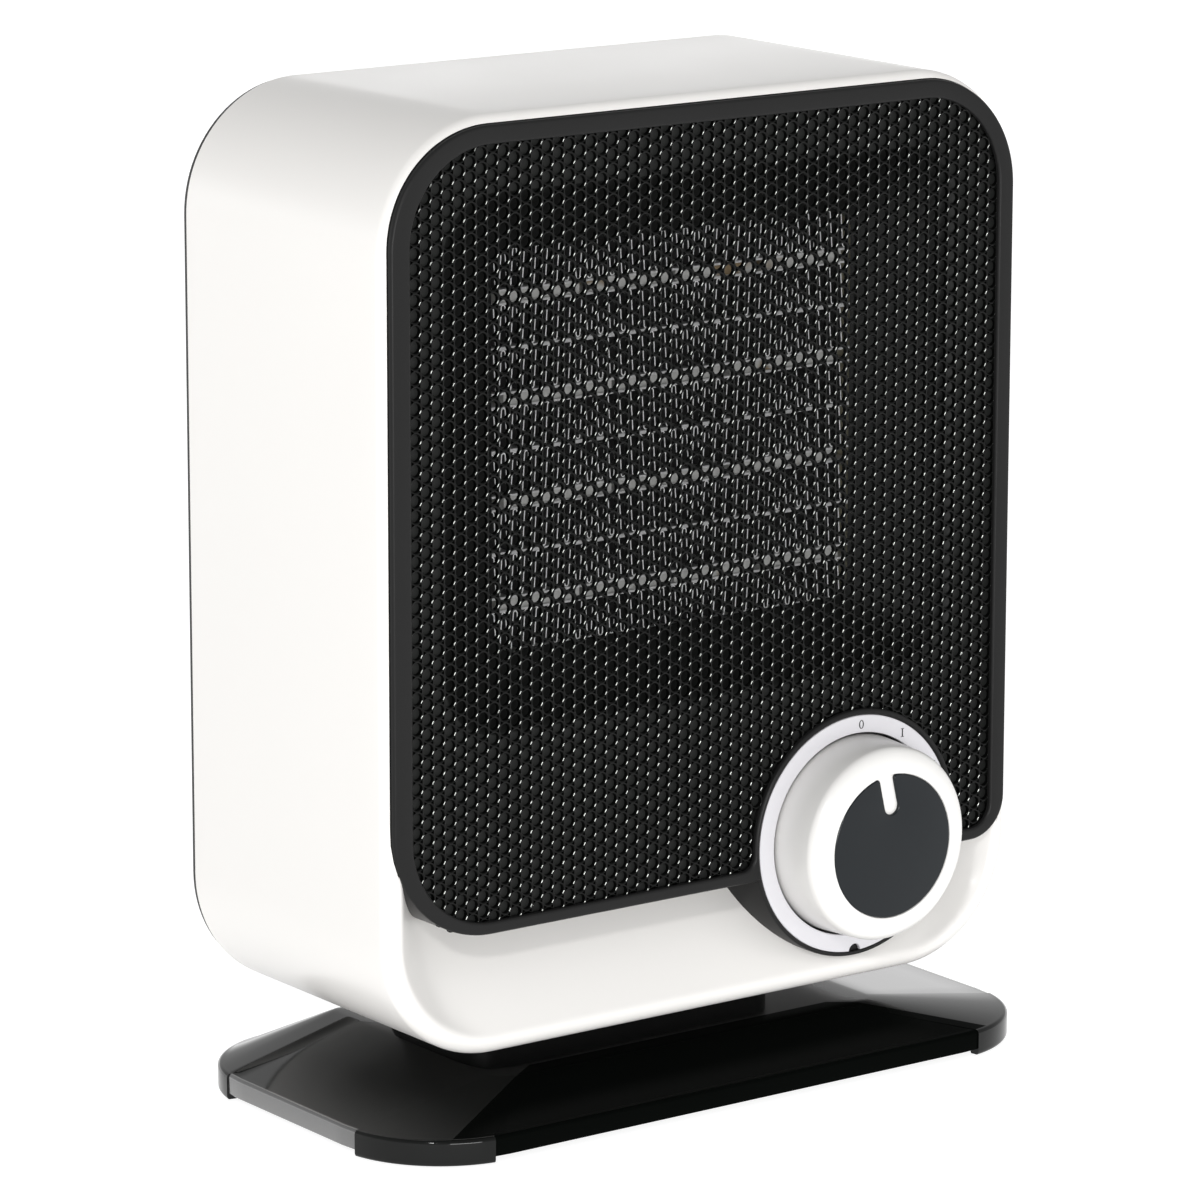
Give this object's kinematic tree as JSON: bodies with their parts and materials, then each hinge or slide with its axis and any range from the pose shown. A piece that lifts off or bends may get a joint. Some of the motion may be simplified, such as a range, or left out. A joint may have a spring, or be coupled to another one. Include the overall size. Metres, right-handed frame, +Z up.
{
  "type": "ceramic fan heater",
  "caption": "Upright ceramic fan heater: rounded white shell, black perforated grille over the element, rotary knob at the lower right, low black base.",
  "frame": {"origin": "on the floor, under the middle of the base", "axes": "+Z up, -Y towards the grille and knob, +X to the right seen from the front"},
  "size_m": [0.188, 0.099, 0.2355],
  "materials": {
    "shell_white": "smooth satin-gloss white",
    "bezel_black": "satin black",
    "grille_black": "satin black paint",
    "duct_black": "matt black",
    "holder_cream": "matt heat-proof plastic",
    "stone_grey": "fired ceramic, matt",
    "fin_alu": "mill finish, thin sheet",
    "contact_alu": "mill finish",
    "brass_tab": "plain",
    "steel_bright": "zinc plated",
    "lamination": "varnished steel laminations",
    "coil_amber": "amber coil tape",
    "fuse_tan": "tan epoxy",
    "fan_grey": "matt",
    "shroud_black": "matt",
    "rear_black": "fine texture",
    "rubber_black": "soft, matt",
    "terminal_white": "matt",
    "ring_lavender": "smooth, matt",
    "knob_white": "satin gloss",
    "face_black": "mirror gloss",
    "switch_cream": "matt",
    "base_black": "high gloss",
    "plate_black": "matt"
  },
  "bodies": {
    "housing": {"shell": "shell_white", "front_bezel": "bezel_black", "grille": "grille_black", "front_duct": "duct_black", "element_holder": "holder_cream", "ceramic_stones": "stone_grey", "heating_fins": "fin_alu", "electrode_plates": "contact_alu", "element_terminals": "brass_tab", "thermal_cutout": "steel_bright", "thermal_fuse": "fuse_tan", "fan_shroud": "shroud_black", "motor_stator": "lamination", "motor_coil": "coil_amber", "motor_brackets": "steel_bright", "motor_screws": "steel_bright", "rear_cover": "rear_black", "rear_cover_screws": "steel_bright", "cable_inlet": "rubber_black", "terminal_block": "terminal_white", "dial_ring": "ring_lavender", "rotary_switch": "switch_cream", "switch_screws": "steel_bright", "neck": "plate_black", "base_cover": "base_black", "base_plate": "plate_black", "base_weight": "lamination", "neck_screws": "steel_bright", "base_screws": "steel_bright", "rubber_feet": "rubber_black", "tilt_switch": "plate_black"},
    "knob": {"knob": "knob_white", "knob_face": "face_black", "switch_shaft": "steel_bright"},
    "rotor": {"fan_impeller": "fan_grey", "motor_shaft": "steel_bright", "motor_rotor": "lamination"},
    "plunger": {"tilt_plunger": "terminal_white"}
  },
  "joints": [
    {"name": "knob_turn", "type": "hinge", "parent": "housing", "child": "knob", "pos_m": [0.0433, -0.04, 0.0562], "axis": [0, 1, 0], "range_deg": [0, 60]},
    {"name": "fan_spin", "type": "hinge", "parent": "housing", "child": "rotor", "pos_m": [0, 0.008, 0.1563], "axis": [0, 1, 0], "continuous": true},
    {"name": "tilt_slide", "type": "slide", "parent": "housing", "child": "plunger", "axis": [0, 0, -1], "range_m": [0, 0.003], "stiffness_N_per_m": 60}
  ]
}
